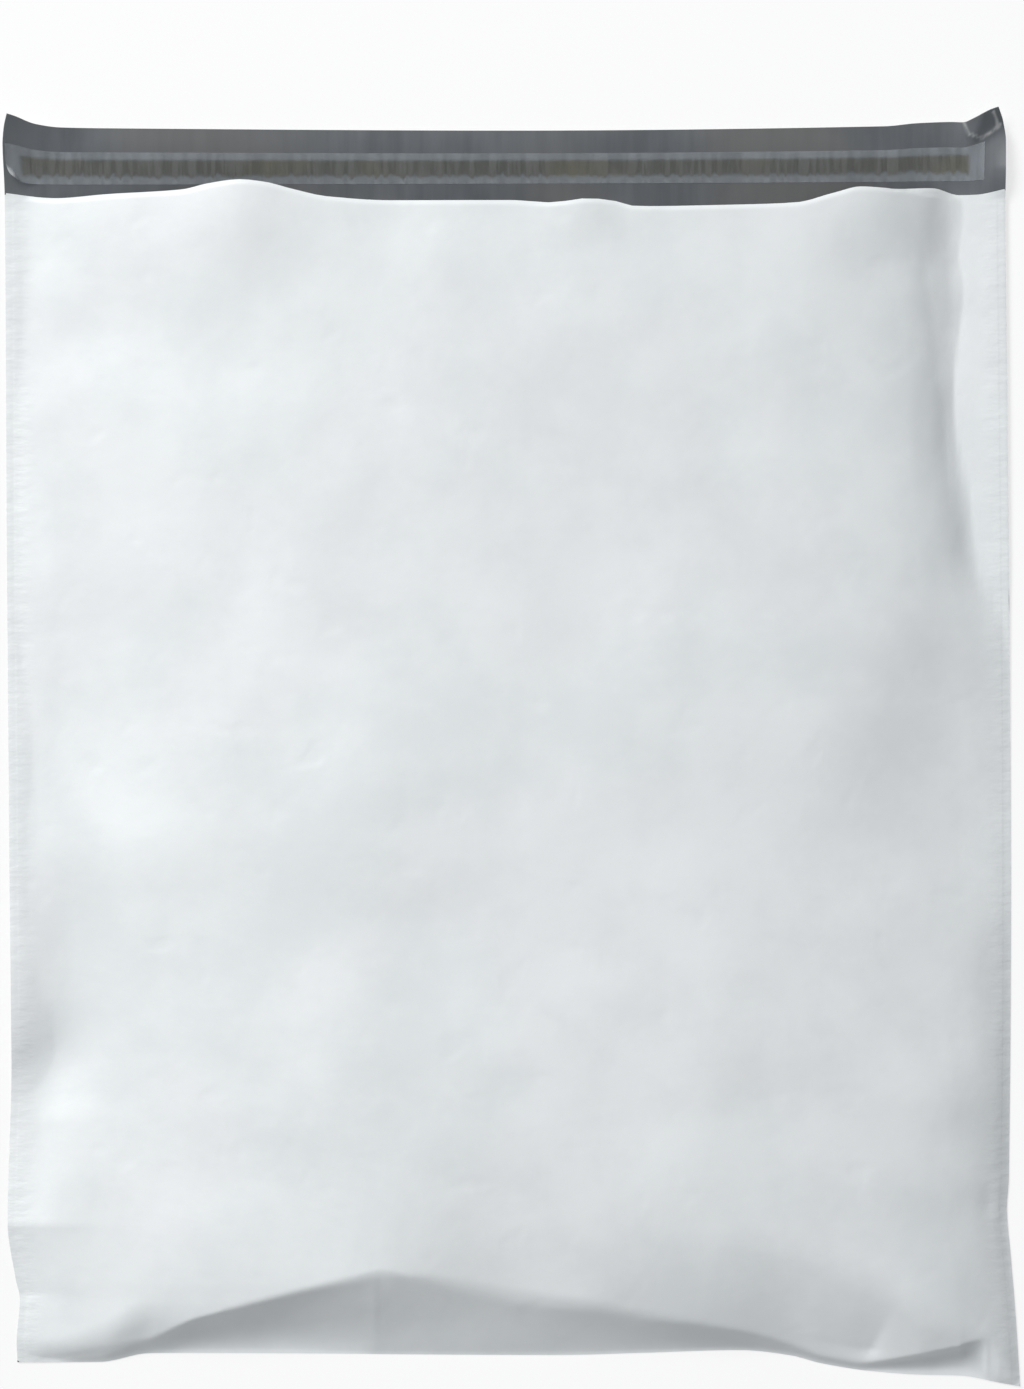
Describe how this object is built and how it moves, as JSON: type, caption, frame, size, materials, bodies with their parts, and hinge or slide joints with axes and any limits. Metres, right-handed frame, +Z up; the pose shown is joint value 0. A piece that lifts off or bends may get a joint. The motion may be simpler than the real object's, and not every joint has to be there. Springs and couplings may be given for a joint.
{
  "type": "poly mailer bag",
  "caption": "Flat film shipping bag lying open on its back: puffed front panel, fused sides, folded bottom and a longer back flap with a peel-off glue closure.",
  "frame": {"origin": "on the resting face, under the middle of the bag's overall width and length", "axes": "+X across the bag from the left weld to the right one, +Y from the bottom fold towards the flap, +Z up out of the front panel"},
  "size_m": [0.483, 0.594, 0.0321],
  "materials": {
    "white_film": "semi-gloss opaque white film outside, grey inside",
    "glue": "tacky clear hot-melt band, olive grey over the grey film",
    "liner_film": "thin glossy translucent release film"
  },
  "bodies": {
    "root": {"film_bag": "white_film", "glue_strip": "glue", "release_liner": "liner_film"}
  },
  "joints": []
}
